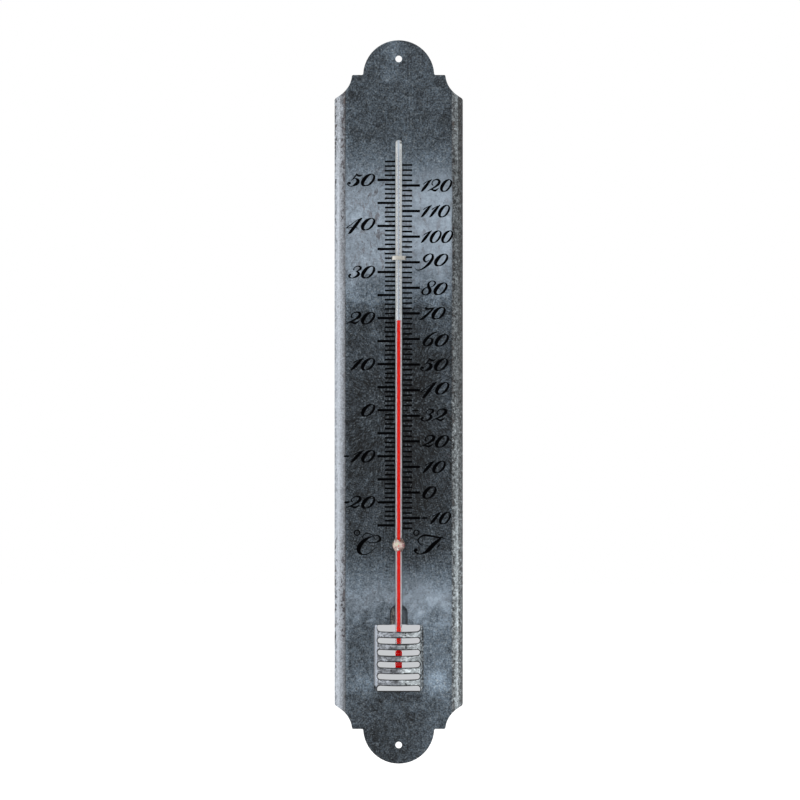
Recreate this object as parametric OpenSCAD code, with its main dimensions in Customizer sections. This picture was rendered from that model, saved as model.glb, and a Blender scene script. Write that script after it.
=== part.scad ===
// Wall thermometer: a pressed zinc-coated sheet with a spirit-filled glass tube on its face.
// Sizes are millimetres. Seen from the front, X goes right, Y goes back to the wall and Z goes up.
// The origin is midway between the two hanging holes, on the front face of the plate.

/* [Plate] */
// Height of the plate over the two round lobes
plate_h = 500; // [470:1:540]
// Width of the plate over its two bent edges
plate_w = 89; // [87:0.5:96]
// Depth from the front face of the plate back to the wall
plate_depth = 7.5; // [6.5:0.1:10]
// Thickness of the sheet
sheet_t = 0.8; // [0.6:0.1:1]
// Width of the flat face between the two first bends
face_w = 74; // [72:0.5:76]
// Width of the inner slope of each bent edge, seen from the front
slope_w = 4.2; // [3:0.1:5]
// Angle of the inner slope of each bent edge
slope_a = 30; // [20:1:35]
// Inside radius of the bends
bend_r = 1; // [0.5:0.1:2]

/* [Plate ends] */
// Radius of the round lobe at each end
lobe_r = 24.6; // [22:0.1:27]
// Distance from the end of the plate to its shoulder
shoulder_drop = 24; // [22:0.5:30]
// Width of the plate across its shoulders
shoulder_w = 64.5; // [60:0.5:68]
// Radius of the hollow corner under each shoulder
hollow_r = 17.3; // [15:0.1:20]
// Height of the hollow corner's centre above the shoulder
hollow_rise = 1; // [0:0.1:3]
// Radius of the corner where a hollow meets the long edge
long_corner_r = 2; // [1:0.1:3]
// Radius of the corner where a hollow meets the shoulder
shoulder_corner_r = 1; // [0.5:0.1:2]
// Radius of the fillet between a shoulder and its lobe
lobe_fillet_r = 1; // [0.5:0.1:2]

/* [Hanging holes] */
// Diameter of the hanging holes
hang_d = 4.6; // [4:0.1:5.5]
// Distance from the end of the plate to the centre of its hanging hole
hang_inset = 12.9; // [10:0.1:16]

/* [Glass] */
// Outside diameter of the stem
stem_d = 4.5; // [4:0.1:5]
// Gap between the stem and the plate
stem_gap = 0.1; // [0.05:0.05:0.3]
// Height of the closed tip over the middle of the plate
tip_z = 180.7; // [178:0.1:190]
// Glass above the end of the bore
tip_cap = 4; // [2:0.5:8]
// Width of the flat bore
bore_w = 1.1; // [1:0.1:1.6]
// Thickness of the flat bore
bore_t = 0.4; // [0.3:0.05:0.5]
// Clear glass between the backing and the tip
tip_glass = 1; // [0.5:0.5:3]
// Clear glass between the backing and the bulb
neck_glass = 16; // [0.5:0.5:20]
// Distance of the bore behind the axis of the stem
bore_back = 1.1; // [0.8:0.05:1.2]
// Thickness of the white backing in the glass
backing_t = 0.3; // [0.2:0.05:0.4]
// Angle of the stem's circumference that the backing covers
backing_a = 110; // [80:5:150]
// Radius of the bead low on the stem
bead_r = 4.5; // [4.2:0.1:5]
// Radius of the fillets between the bead and the stem
bead_fillet_r = 1.2; // [0.6:0.1:2]
// Outside diameter of the bulb
bulb_d = 4.9; // [4.7:0.1:5.6]
// Length of the bulb
bulb_len = 14.1; // [12:0.1:18]
// Radius of the round shoulders of the bulb
bulb_corner_r = 1.6; // [1.2:0.1:2]
// Thickness of the bulb's wall
bulb_wall = 0.5; // [0.4:0.05:0.7]
// Height of the bulb's middle over the middle of the guard
bulb_offset = -1.7; // [-3:0.1:3]

/* [Fixings] */
// Distance of the strap above the middle of the plate
strap_z = 99.4; // [85:0.1:110]
// Distance of the bead below the middle of the plate
bead_drop = 98.7; // [88:0.1:110]
// Width of the strap along the stem
strap_h = 2.7; // [2:0.1:4]
// Thickness of the strap
strap_t = 0.4; // [0.3:0.05:0.6]
// Outside width of the strap's arch
strap_w = 9.1; // [8:0.1:10]
// Length of each strap end, bent flat behind the plate
strap_end = 5; // [3:0.5:8]
// Clearance between the strap and what it passes
strap_gap = 0.1; // [0.05:0.05:0.2]
// Length of the slots that the strap passes through, across the plate
strap_slot = 1; // [1:0.1:2]
// Clearance around the bead in its hole
bead_gap = 0.15; // [0.1:0.05:0.4]
// Clearance between the bead and its cement
seat_gap = 0.02; // [0.01:0.01:0.05]
// Radius of the cement behind the bead
cement_r = 6.6; // [6:0.1:8]
// Height of the cement behind the plate
cement_h = 2.6; // [2.4:0.1:3.4]

/* [Guard] */
// Width of the guard at the plate
guard_w = 33.4; // [32:0.1:36]
// Distance from the lower end of the plate up to the middle of the guard
guard_up = 73.1; // [70:0.1:76]
// Height of the guard's top over the front face of the plate
guard_rise = 8.3; // [7.8:0.1:10]
// Height of the guard's side walls
wall_rise = 2.9; // [2:0.1:4]
// Width of each side wall, seen from the front
wall_run = 1.7; // [1.2:0.1:2.5]
// Number of bars
bars = 5; // [3:1:6]
// Height of each bar
bar_h = 4.45; // [4:0.05:6]
// Height of the slots between the bars
slot_h = 3.8; // [2.5:0.05:4]
// Height of the slots above the first bar and below the last
end_slot_h = 4.05; // [3:0.05:4.5]
// Length of the slots between two bars
slot_w = 29.1; // [26:0.1:29.5]
// Length of the slots above the first bar and below the last
end_slot_w = 29.7; // [26:0.1:29.9]
// Radius of the corners where the end slots meet a bar
bar_corner_r = 2.4; // [1:0.1:3]
// Radius of the corners where the end slots meet the plate
edge_corner_r = 0.8; // [0.4:0.1:1.5]
// Length of the guard's corners that slope back to the plate
guard_corner = 3; // [2:0.1:4]
// Radius of the fillet along the foot of the side walls
foot_r = 0.8; // [0.4:0.1:1.5]

/* [Recess] */
// Width of the arched recess above the guard
recess_w = 12.6; // [11:0.1:14]
// Height of the recess above the guard
recess_h = 14.3; // [12:0.1:18]
// Depth of the recess
recess_depth = 3.6; // [2:0.1:4]

/* [Scale] */
// Distance from the middle of the plate down to the freezing point
freezing_drop = 5.7; // [0:0.1:12]
// Length of one degree Celsius on the scale
degree_h = 3.183; // [3:0.001:3.2]
// Temperature shown, in degrees Celsius
reading = 19.5; // [-20:0.5:50]
// Lowest mark of the Celsius row
low_c = -25; // [-25:5:-10]
// Highest mark of the Celsius row
high_c = 54; // [40:1:54]
// Lowest mark of the Fahrenheit row
low_f = -14; // [-14:2:0]
// Highest mark of the Fahrenheit row
high_f = 128; // [110:2:128]
// Distance of the Celsius marks from the centre line
celsius_in = 2.3; // [2:0.1:4]
// Distance of the Fahrenheit marks from the centre line
fahrenheit_in = 2; // [2:0.1:4]
// Length of a short Celsius mark
short_c = 7.3; // [5:0.1:8]
// Length of a long Celsius mark
long_c = 12.4; // [9:0.1:13]
// Length of a short Fahrenheit mark
short_f = 7.3; // [5:0.1:8]
// Length of a long Fahrenheit mark
long_f = 12.7; // [9:0.1:13]
// Distance of the Fahrenheit row below its exact place, as it was printed
fahrenheit_drop = 0.3; // [0:0.05:0.5]
// Length of each dash of the broken mark at the freezing point
dash_len = 4.2; // [2:0.1:5]
// Gap between those two dashes
dash_gap = 3.2; // [1:0.1:5]
// Line width of those two dashes
dash_line = 0.9; // [0.4:0.05:1.5]
// Line width of a short mark
thin_line = 1.25; // [0.6:0.05:1.4]
// Line width of a long mark
thick_line = 1.7; // [1:0.05:1.9]
// Thickness of the ink
ink_t = 0.05; // [0.03:0.01:0.08]

/* [Spirit] */
// Clearance between the red spirit and the glass around it
spirit_gap = 0.05; // [0.03:0.01:0.1]
// Height above the bulb at which the column in the bore starts
column_rise = 1; // [0.5:0.5:3]
// Length of the free end of the column that moves as one piece
top_len = 3; // [2:0.5:6]

/* [Hidden] */
$fn = 96;
// Overlap of cutting shapes beyond the surfaces that they cut
eps = 0.5;
// Size of a solid that covers the whole object
far = 2 * plate_h;
// Number of facets around a bend of the sheet
bend_steps = 6;

// Plate
half_h = plate_h / 2;
half_w = plate_w / 2;
lobe_z = half_h - lobe_r;
shoulder_z = half_h - shoulder_drop;
hollow = [shoulder_w / 2 + leg(hollow_r, hollow_rise), shoulder_z + hollow_rise];
hang_z = half_h - hang_inset;
edge_run = half_w - face_w / 2 - slope_w;
edge_a = atan((plate_depth - slope_w * tan(slope_a)) / edge_run);

// Guard
guard_z = guard_up - plate_h / 2;
bars_h = bars * bar_h + (bars - 1) * slot_h;
window_h = bars_h + 2 * end_slot_h;
window_top = guard_z + window_h / 2;
wall_a = atan(wall_rise / wall_run);
foot_reach = foot_r / tan((180 - wall_a) / 2);
window_w = guard_w + 2 * foot_reach;
crown_half = guard_w / 2 - wall_run;
crown_h = guard_rise - wall_rise;
crown_r = arc_r(crown_half, crown_h);
corner_step = guard_w / 2 - end_slot_w / 2 - wall_run / 2;
corner_a = atan(corner_step / guard_corner);

// Recess: a capsule whose axis lies in front of the plate
recess_r = arc_r(recess_w / 2, recess_depth);
recess_y = recess_depth - recess_r;
recess_z = window_top + recess_h - recess_w / 2;

// Glass
stem_r = stem_d / 2;
stem_y = -stem_gap - stem_r;
bead_z = -bead_drop;
bulb_r = bulb_d / 2;
bulb_z = guard_z + bulb_offset;
bulb_low = bulb_z - bulb_len / 2;
bulb_top = bulb_z + bulb_len / 2;
cavity_r = bulb_r - bulb_wall;
bore_top = tip_z - stem_r - tip_cap;
bead_hole_r = leg(bead_r, stem_y) + bead_gap;

// Spirit
zero_z = -freezing_drop;
level_z = zero_z + reading * degree_h;
column_low = bulb_top + column_rise;

// Scale
freezing_f = 32;
degree_f = degree_h * 5 / 9;
zero_f = zero_z - freezing_f * degree_f - fahrenheit_drop;

// Plate outline

function unit(v) = v / norm(v);

// Radius of an arc of a given height over half its chord
function arc_r(half_chord, height) = (half_chord * half_chord + height * height) / (2 * height);

// The other short side of a right triangle with the long side c and the short side b
function leg(c, b) = sqrt(c * c - b * b);

// One upper quarter of the outline, from the centre line to the long edge. Each rounded corner is
// a disc that touches the hollow, and the fillet is a disc that touches the lobe and the shoulder.
module quarter_outline() {
    long_x = half_w - long_corner_r;
    long_corner = [long_x, hollow.y - leg(hollow_r + long_corner_r, hollow.x - long_x)];
    top_z = shoulder_z - shoulder_corner_r;
    top_corner = [hollow.x - leg(hollow_r + shoulder_corner_r, hollow.y - top_z), top_z];
    fillet_z = shoulder_z + lobe_fillet_r;
    fillet = [leg(lobe_r + lobe_fillet_r, fillet_z - lobe_z), fillet_z];
    lobe_touch = [0, lobe_z] + lobe_r * unit(fillet - [0, lobe_z]);
    difference() {
        union() {
            polygon([
                [0, 0], [half_w, 0], [half_w, long_corner.y], long_corner,
                hollow + hollow_r * unit(long_corner - hollow), hollow,
                hollow + hollow_r * unit(top_corner - hollow), top_corner,
                [top_corner.x, shoulder_z], [0, shoulder_z]
            ]);
            translate(long_corner) circle(long_corner_r);
            translate(top_corner) circle(shoulder_corner_r);
            difference() {
                polygon([[0, shoulder_z - eps], [fillet.x, shoulder_z - eps], fillet, lobe_touch,
                    [0, lobe_touch.y]]);
                translate(fillet) circle(lobe_fillet_r);
            }
            translate([0, lobe_z]) intersection() {
                circle(lobe_r);
                translate([0, shoulder_z - lobe_z - eps]) square(lobe_r * 2);
            }
        }
        translate(hollow) circle(hollow_r);
    }
}

module plate_outline() {
    for (side = [0, 1], end = [0, 1])
        mirror([side, 0]) mirror([0, end]) quarter_outline();
}

// Points of one bend: the sheet turns from angle a0 to a1 about the crease at v on its front face
function bend(v, a0, a1, r) =
    let (outer = bend_r + sheet_t)
    let (start = v - outer * tan((a1 - a0) / 2) * [cos(a0), sin(a0)])
    let (centre = start + outer * [-sin(a0), cos(a0)])
    [for (i = [0:bend_steps]) let (a = a0 + (a1 - a0) * i / bend_steps) centre + r * [sin(a), -cos(a)]];

// Section of the sheet from its centre line to the right long edge, seen from above
module half_section() {
    first = [face_w / 2, 0];
    second = first + slope_w * [1, tan(slope_a)];
    end_run = sheet_t / sin(edge_a);
    front = concat(bend(first, 0, slope_a, bend_r + sheet_t),
        bend(second, slope_a, edge_a, bend_r + sheet_t));
    back = concat(bend(first, 0, slope_a, bend_r), bend(second, slope_a, edge_a, bend_r));
    polygon(concat([[0, 0]], front, [[half_w, plate_depth], [half_w - end_run, plate_depth]],
        [for (i = [len(back) - 1:-1:0]) back[i]], [[0, sheet_t]]));
}

// A shape drawn in the X-Z plane, as a solid from y0 back to y1
module upright(y0, y1) {
    translate([0, y1, 0]) rotate([90, 0, 0]) linear_extrude(y1 - y0) children();
}

// The recess as a solid, grown by g
module recess_solid(g) {
    translate([0, recess_y, recess_z]) {
        sphere(recess_r + g);
        mirror([0, 0, 1]) cylinder(r = recess_r + g, h = recess_z - window_top + eps);
    }
}

module guard_footprint() {
    difference() {
        translate([-window_w / 2, guard_z - window_h / 2]) square([window_w, window_h]);
        for (side = [0, 1], end = [0, 1])
            mirror([side, 0]) translate([0, guard_z]) mirror([0, end])
                translate([window_w / 2, window_h / 2])
                    polygon([[eps, 0], [-corner_step, 0], [0, -guard_corner], [eps, -guard_corner]]);
    }
}

module strap_slots() {
    for (side = [0, 1])
        mirror([side, 0, 0])
            translate([strap_w / 2 - strap_t - strap_gap, -eps, strap_z - strap_h / 2 - strap_gap])
                cube([strap_slot, sheet_t + 2 * eps, strap_h + 2 * strap_gap]);
}

module backplate() {
    color([0.40, 0.44, 0.48]) difference() {
        union() {
            intersection() {
                translate([0, 0, -far / 2]) linear_extrude(far) {
                    half_section();
                    mirror([1, 0]) half_section();
                }
                upright(-eps, plate_depth + eps) plate_outline();
            }
            intersection() {
                recess_solid(sheet_t);
                translate([-recess_w, sheet_t / 2, window_top]) cube([2 * recess_w, far, far]);
            }
        }
        recess_solid(0);
        upright(-eps, sheet_t + eps) guard_footprint();
        for (end = [-1, 1])
            translate([0, sheet_t + eps, end * hang_z]) rotate([90, 0, 0])
                cylinder(d = hang_d, h = sheet_t + 2 * eps);
        translate([0, sheet_t + eps, bead_z]) rotate([90, 0, 0])
            cylinder(r = bead_hole_r, h = sheet_t + 2 * eps);
        strap_slots();
    }
}

// Section of the guard's hump, seen from above, with its surface moved inwards by s
module hump_section(s, back_y) {
    front_y = -guard_rise - eps;
    function half(y) = guard_w / 2 + y / tan(wall_a) - s / sin(wall_a);
    intersection() {
        translate([0, crown_r - guard_rise]) circle(crown_r - s);
        polygon([[-half(back_y), back_y], [half(back_y), back_y], [half(front_y), front_y],
            [-half(front_y), front_y]]);
    }
}

// The hump between the top and the bottom of the guard, with its four corners sloped back
module hump(s, back_y, extra) {
    difference() {
        translate([0, 0, guard_z - window_h / 2 - extra]) linear_extrude(window_h + 2 * extra)
            hump_section(s, back_y);
        for (side = [0, 1], end = [0, 1])
            mirror([side, 0, 0]) translate([0, 0, guard_z]) mirror([0, 0, end])
                translate([guard_w / 2, 0, window_h / 2 - guard_corner])
                    rotate([0, -corner_a, 0]) rotate([0, 0, wall_a - 90])
                        translate([-s, -far / 2, -far / 2]) cube(far);
    }
}

// A corner of radius r to take off a square corner at the origin
module outer_corner(r) {
    difference() {
        translate([-eps, -eps]) square(r + eps);
        translate([r, r]) circle(r);
    }
}

// The slots between two bars have round ends
module bar_slot() {
    square([slot_w - slot_h, slot_h], center = true);
    for (side = [-1, 1])
        translate([side * (slot_w - slot_h) / 2, 0]) circle(slot_h / 2);
}

// The slot between the first bar and the plate, drawn upwards from the bar
module end_slot() {
    difference() {
        translate([-end_slot_w / 2, 0]) square([end_slot_w, end_slot_h]);
        for (side = [0, 1])
            mirror([side, 0]) translate([-end_slot_w / 2, 0]) {
                outer_corner(bar_corner_r);
                translate([0, end_slot_h]) mirror([0, 1]) outer_corner(edge_corner_r);
            }
    }
}

module guard_slots() {
    for (i = [1:bars - 1])
        translate([0, guard_z - bars_h / 2 + i * (bar_h + slot_h) - slot_h / 2]) bar_slot();
    for (end = [0, 1])
        translate([0, guard_z]) mirror([0, end]) translate([0, bars_h / 2]) end_slot();
}

// The fillet along the foot of one side wall
module foot_fillet() {
    centre = [guard_w / 2 + foot_reach, -foot_r];
    length = window_h - 2 * guard_corner;
    translate([0, 0, guard_z - length / 2]) linear_extrude(length) difference() {
        polygon([[guard_w / 2, sheet_t / 2], [centre.x, sheet_t / 2], [centre.x, 0],
            [guard_w / 2 - foot_reach * cos(wall_a), -foot_reach * sin(wall_a)]]);
        translate(centre) circle(foot_r);
    }
}

module bulb_guard() {
    color([0.62, 0.65, 0.68]) difference() {
        union() {
            hump(0, 0, 0);
            upright(0, sheet_t) guard_footprint();
            foot_fillet();
            mirror([1, 0, 0]) foot_fillet();
        }
        hump(sheet_t, sheet_t + eps, eps);
        upright(-guard_rise - eps, sheet_t + eps) guard_slots();
    }
}

// Half of a rounded barrel of radius r between two heights, to be turned about its axis
module barrel_half(r, low, high, corner) {
    square_h = high - low - 2 * corner;
    translate([0, low + corner]) square([r, square_h]);
    translate([0, low]) square([r - corner, high - low]);
    for (z = [low + corner, high - corner])
        translate([r - corner, z]) circle(corner);
}

// Half of the glass's outline, to be turned about the axis of the stem
module glass_half() {
    fillet_x = stem_r + bead_fillet_r;
    fillet = [fillet_x, leg(bead_r + bead_fillet_r, fillet_x)];
    intersection() {
        translate([0, -far / 2]) square(far);
        union() {
            barrel_half(bulb_r, bulb_low, bulb_top, bulb_corner_r);
            translate([0, bulb_z]) square([stem_r, tip_z - stem_r - bulb_z]);
            translate([0, tip_z - stem_r]) circle(stem_r);
            translate([0, bead_z]) {
                circle(bead_r);
                for (end = [0, 1])
                    mirror([0, end]) difference() {
                        polygon([[0, 0], bead_r * unit(fillet), fillet, [stem_r, fillet.y],
                            [0, fillet.y]]);
                        translate(fillet) circle(bead_fillet_r);
                    }
            }
        }
    }
}

// A rod with the bore's section, made smaller by s all round, between two heights
module bore_rod(s, low, high) {
    flat = bore_w - bore_t;
    translate([0, stem_y + bore_back, low]) linear_extrude(high - low) {
        square([flat, bore_t - 2 * s], center = true);
        for (side = [-1, 1])
            translate([side * flat / 2, 0]) circle(bore_t / 2 - s);
    }
}

module white_backing() {
    low = bulb_top + neck_glass;
    high = tip_z - stem_r - tip_glass;
    wedge = stem_d * [sin(backing_a / 2), cos(backing_a / 2)];
    color([0.90, 0.90, 0.86]) translate([0, stem_y, low]) intersection() {
        difference() {
            cylinder(r = stem_r, h = high - low);
            translate([0, 0, -eps]) cylinder(r = stem_r - backing_t, h = high - low + 2 * eps);
        }
        linear_extrude(high - low) polygon([[0, 0], wedge, [wedge.x, stem_d], [-wedge.x, stem_d],
            [-wedge.x, wedge.y]]);
    }
}

module bulb_cavity(s) {
    translate([0, stem_y, 0]) rotate_extrude() intersection() {
        translate([0, -far / 2]) square(far);
        barrel_half(cavity_r - s, bulb_low + bulb_wall + s, bulb_top - bulb_wall - s,
            bulb_corner_r - bulb_wall);
    }
}

module glass_tube() {
    color([0.80, 0.87, 0.88]) difference() {
        translate([0, stem_y, 0]) rotate_extrude() glass_half();
        bulb_cavity(0);
        bore_rod(0, bulb_z, bore_top);
        white_backing();
    }
}

module bulb_spirit() {
    color([0.70, 0.02, 0.04]) {
        bulb_cavity(spirit_gap);
        bore_rod(spirit_gap, bulb_z, column_low);
    }
}

module spirit_column() {
    color([0.86, 0.12, 0.08]) bore_rod(spirit_gap, column_low, level_z - top_len);
}

module spirit_top() {
    color([0.86, 0.12, 0.08]) bore_rod(spirit_gap, level_z - top_len, level_z);
}

// The strap's band, seen from above: an arch over the stem, two legs and two flat ends
module strap_section() {
    outer = strap_w / 2;
    inner = outer - strap_t;
    arch_y = stem_y - stem_r - strap_gap + inner;
    behind = sheet_t + strap_gap;
    difference() {
        translate([0, arch_y]) circle(outer);
        translate([0, arch_y]) circle(inner);
        translate([-far / 2, arch_y]) square(far);
    }
    for (side = [0, 1])
        mirror([side, 0]) {
            translate([inner, arch_y]) square([strap_t, behind + strap_t - arch_y]);
            translate([inner, behind]) square([strap_end, strap_t]);
        }
}

module tube_strap() {
    color([0.80, 0.78, 0.73]) translate([0, 0, strap_z - strap_h / 2])
        linear_extrude(strap_h) strap_section();
}

module bead_cement() {
    dome_r = arc_r(cement_r, cement_h);
    color([0.75, 0.73, 0.68]) difference() {
        translate([0, sheet_t + cement_h - dome_r, bead_z]) sphere(dome_r);
        translate([-far / 2, sheet_t - far, -far / 2]) cube(far);
        translate([0, stem_y, bead_z]) sphere(bead_r + seat_gap);
    }
}

// One printed mark from x0 to x1 at height z
module mark(x0, x1, z, line) {
    translate([x0, -ink_t, z - line / 2]) cube([x1 - x0, ink_t, line]);
}

// The mark at the freezing point is broken into two dashes
module freezing_dashes(z) {
    for (start = [fahrenheit_in, fahrenheit_in + dash_len + dash_gap])
        mark(start, start + dash_len, z, dash_line);
}

module celsius_marks() {
    color([0.05, 0.05, 0.06]) difference() {
        for (c = [low_c:high_c]) {
            long = c % 5 == 0;
            mark(-celsius_in - (long ? long_c : short_c), -celsius_in, zero_z + c * degree_h,
                long ? thick_line : thin_line);
        }
        strap_slots();
    }
}

module fahrenheit_marks() {
    color([0.05, 0.05, 0.06]) difference() {
        for (f = [low_f:2:high_f]) {
            z = zero_f + f * degree_f;
            long = f % 10 == 0;
            if (f == freezing_f)
                freezing_dashes(z);
            else
                mark(fahrenheit_in, fahrenheit_in + (long ? long_f : short_f), z,
                    long ? thick_line : thin_line);
        }
        strap_slots();
    }
}

backplate();
bulb_guard();
glass_tube();
white_backing();
bulb_spirit();
spirit_column();
spirit_top();
tube_strap();
bead_cement();
celsius_marks();
fahrenheit_marks();
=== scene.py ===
"""Looks of the wall thermometer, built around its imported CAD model, in metres and in that model's frame."""

import functools
from math import acos, atan2, cos, degrees, pi, radians, sin, sqrt

import bmesh
import bpy
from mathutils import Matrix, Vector


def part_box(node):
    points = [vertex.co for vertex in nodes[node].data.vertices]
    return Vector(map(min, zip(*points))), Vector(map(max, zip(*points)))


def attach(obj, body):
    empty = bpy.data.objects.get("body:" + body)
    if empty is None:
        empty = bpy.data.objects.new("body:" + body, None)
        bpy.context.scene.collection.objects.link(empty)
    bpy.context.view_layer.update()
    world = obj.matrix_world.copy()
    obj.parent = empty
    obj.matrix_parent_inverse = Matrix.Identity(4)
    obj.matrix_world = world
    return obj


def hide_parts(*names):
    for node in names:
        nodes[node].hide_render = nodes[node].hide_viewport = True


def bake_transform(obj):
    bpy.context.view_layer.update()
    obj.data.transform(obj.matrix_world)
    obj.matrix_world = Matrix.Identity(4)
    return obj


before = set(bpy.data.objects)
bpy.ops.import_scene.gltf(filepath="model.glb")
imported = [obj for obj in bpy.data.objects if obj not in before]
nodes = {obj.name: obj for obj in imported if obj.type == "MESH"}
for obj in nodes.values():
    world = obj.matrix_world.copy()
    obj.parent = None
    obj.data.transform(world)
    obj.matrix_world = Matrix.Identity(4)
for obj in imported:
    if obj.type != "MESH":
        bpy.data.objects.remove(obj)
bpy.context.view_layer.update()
scene = bpy.context.scene
MM = 0.001
HALF_PLATE = 250.0 * MM
# The bent edges, from the middle of the plate: where their colour starts, the ridge between their two
# facets, and the rim.
EDGE_X, RIDGE_X, RIM_X = 36.8 * MM, 40.8 * MM, 43.8 * MM
# The scale: height of the freezing point, of one Celsius degree, and how low the Fahrenheit row sits.
FREEZING, DEGREE, FAHRENHEIT_DROP = -5.7 * MM, 3.183 * MM, 0.3 * MM
# The guard: its middle height, and the lower edge of its last slot.
GUARD_Z, GUARD_LOW = -176.9 * MM, -199.7 * MM
# Its slots: pitch, half height and half straight width.
SLOT_PITCH, SLOT_HALF, SLOT_STRAIGHT = 8.25 * MM, 1.9 * MM, 12.65 * MM
# Where a broken line of pits runs down the bars, and where the side walls start.
PITS_X, WALL_X = 4.8 * MM, 15.2 * MM
# The arched recess: height of its arch's middle, of its lower end, and the radius that its grime keeps to.
ARCH_Z, ARCH_LOW, ARCH_R = -146.1 * MM, -154.1 * MM, 5.8 * MM
# The bead's height in millimetres, and spots in its milk as x, z, radius and display colour. Its white spots
# are painted glints.
BEAD_Z = -98.7
BEAD_SPOTS = (
    (-1.0, -98.4, 1.3, (206, 204, 184)),
    (-0.15, -99.2, 0.5, (206, 104, 100)),
    (2.3, -98.9, 0.8, (138, 78, 84)),
    (2.2, -98.8, 0.3, (220, 190, 190)),
    # The last three spots are painted glints.
    (-2.3, -96.6, 0.75, (255, 255, 255)),
    (-0.45, -100.8, 0.6, (255, 255, 255)),
    (2.4, -100.3, 0.65, (255, 255, 255)),
)
# A dark dot and a bright one in the closed tip, in the same order; the bright one is a painted reflection.
TIP_SPOTS = (
    (0.55, 178.7, 0.45, (58, 62, 66)),
    (0.62, 177.5, 0.5, (255, 255, 255)),
)

# Help with shaders.


def linear(r, g, b):
    """A display colour, 0 to 255 a channel, as the linear colour that a shader takes."""

    def one(v):
        v /= 255
        return v / 12.92 if v <= 0.04045 else ((v + 0.055) / 1.055) ** 2.4

    return (one(r), one(g), one(b), 1.0)


class Graph:
    """A material and short calls that add nodes to it."""

    def __init__(self, name):
        self.material = bpy.data.materials.new(name)
        self.material.use_nodes = True
        self.tree = self.material.node_tree
        self.tree.nodes.clear()
        self.end = self.node("OutputMaterial")
        where = self.node("TexCoord")
        self.place = where.outputs["Object"]
        self.normal = where.outputs["Normal"]
        split = self.node("SeparateXYZ", {"Vector": self.place})
        self.x, self.y, self.z = split.outputs

    def put(self, socket, value):
        """Links a socket's output to an input, or sets the input to a plain value."""
        if isinstance(value, bpy.types.NodeSocket):
            self.tree.links.new(value, socket)
        else:
            socket.default_value = value

    def node(self, kind, sockets=None, **settings):
        """A new shader node with its inputs, by name or number, and its settings."""
        made = self.tree.nodes.new("ShaderNode" + kind)
        for name, value in settings.items():
            setattr(made, name, value)
        for name, value in (sockets or {}).items():
            self.put(made.inputs[name], value)
        return made

    def out(self, kind, sockets=None, **settings):
        """The first output of a new node."""
        return self.node(kind, sockets, **settings).outputs[0]

    def math(self, how, a, b=0.0):
        return self.out("Math", {0: a, 1: b}, operation=how)

    def add(self, a, b):
        return self.math("ADD", a, b)

    def times(self, a, b):
        return self.math("MULTIPLY", a, b)

    def larger(self, a, b):
        return self.math("MAXIMUM", a, b)

    def rest_of(self, share):
        """What a share leaves of one."""
        return self.math("SUBTRACT", 1.0, share)

    def mix(self, share, a, b):
        """Colour a, with a share of colour b."""
        return self.node("Mix", {0: share, 6: a, 7: b}, data_type="RGBA").outputs[2]

    def lerp(self, share, a, b):
        """Number a, with a share of number b."""
        return self.out("Mix", {0: share, 2: a, 3: b}, data_type="FLOAT")

    def span(self, value, low, high, a=0.0, b=1.0, smooth=True):
        """The value's way from low to high, as a to b, and held beyond."""
        how = "SMOOTHSTEP" if smooth else "LINEAR"
        sockets = {0: value, 1: low, 2: high, 3: a, 4: b}
        return self.out("MapRange", sockets, interpolation_type=how)

    def noise(self, scale, detail=2.0, rough=0.5, stretch=None, warp=0.0):
        """A noise, with each axis at its own scale too if stretch gives them."""
        where = self.out("Mapping", {"Vector": self.place, "Scale": stretch}) if stretch else self.place
        sockets = {"Vector": where, "Scale": scale, "Detail": detail}
        return self.out("TexNoise", sockets | {"Roughness": rough, "Distortion": warp})

    def cells(self, scale, out, where=None):
        sockets = {"Vector": where or self.place, "Scale": scale}
        return self.node("TexVoronoi", sockets).outputs[out]

    def crystals(self, scale, where=None):
        """Cells, each with a value of its own."""
        return self.out("SeparateColor", {0: self.cells(scale, "Color", where)})

    def facing(self, axis):
        """The surface's direction along an axis: 0 is x, 1 is y and 2 is z."""
        return self.node("SeparateXYZ", {0: self.normal}).outputs[axis]

    def bent(self, scale, size):
        """The place, pushed about by a noise, so that borders made from it run unevenly."""
        sockets = {"Vector": self.place, "Scale": scale, "Detail": 2.0}
        shift = self.node("TexNoise", sockets).outputs["Color"]
        sockets = {0: shift, 1: (size, size, size), 2: self.place}
        return self.out("VectorMath", sockets, operation="MULTIPLY_ADD")

    def ramp(self, value, stops):
        made = self.node("ValToRGB", {0: value})
        points = made.color_ramp.elements
        while len(points) < len(stops):
            points.new(0.5)
        for point, (at, colour) in zip(points, stops):
            point.position = at
            point.color = colour
        return made.outputs[0]

    def bump(self, height, distance, strength=1.0):
        sockets = {"Height": height, "Distance": distance, "Strength": strength}
        return self.out("Bump", sockets)

    def finish_with(self, shader):
        self.tree.links.new(shader.outputs[0], self.end.inputs[0])

    def principled(self, **sockets):
        """Ends the material in a principled shader with these inputs."""
        named = {name.replace("_", " "): value for name, value in sockets.items()}
        self.finish_with(self.node("BsdfPrincipled", named))


# Materials.


def display(g, level, red=0.93, green=1.01, blue=1.09):
    """The linear colour of a display level, 0 to 255, in a cool grey or with the given shares of it."""
    bare = g.math("POWER", g.math("MAXIMUM", g.times(level, 1 / 255), 0.02), 2.2)
    parts = [g.times(bare, share**2.2) for share in (red, green, blue)]
    return g.out("CombineColor", dict(enumerate(parts)))


def centred(g, noise, size):
    """A noise less its middle, times size."""
    return g.times(g.add(noise, -0.5), size)


def swing(g, noise, size):
    """A centred noise, most of which lies within size either way."""
    return centred(g, noise, g.times(size, 4.0))


def sum_of(g, *parts):
    return functools.reduce(g.add, parts)


def product(g, *parts):
    return functools.reduce(g.times, parts)


def drift(g, value, one, two, low=0.3, high=0.7):
    """A colour that drifts with a value between two display colours."""
    return g.mix(g.span(value, low, high), linear(*one), linear(*two))


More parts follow.
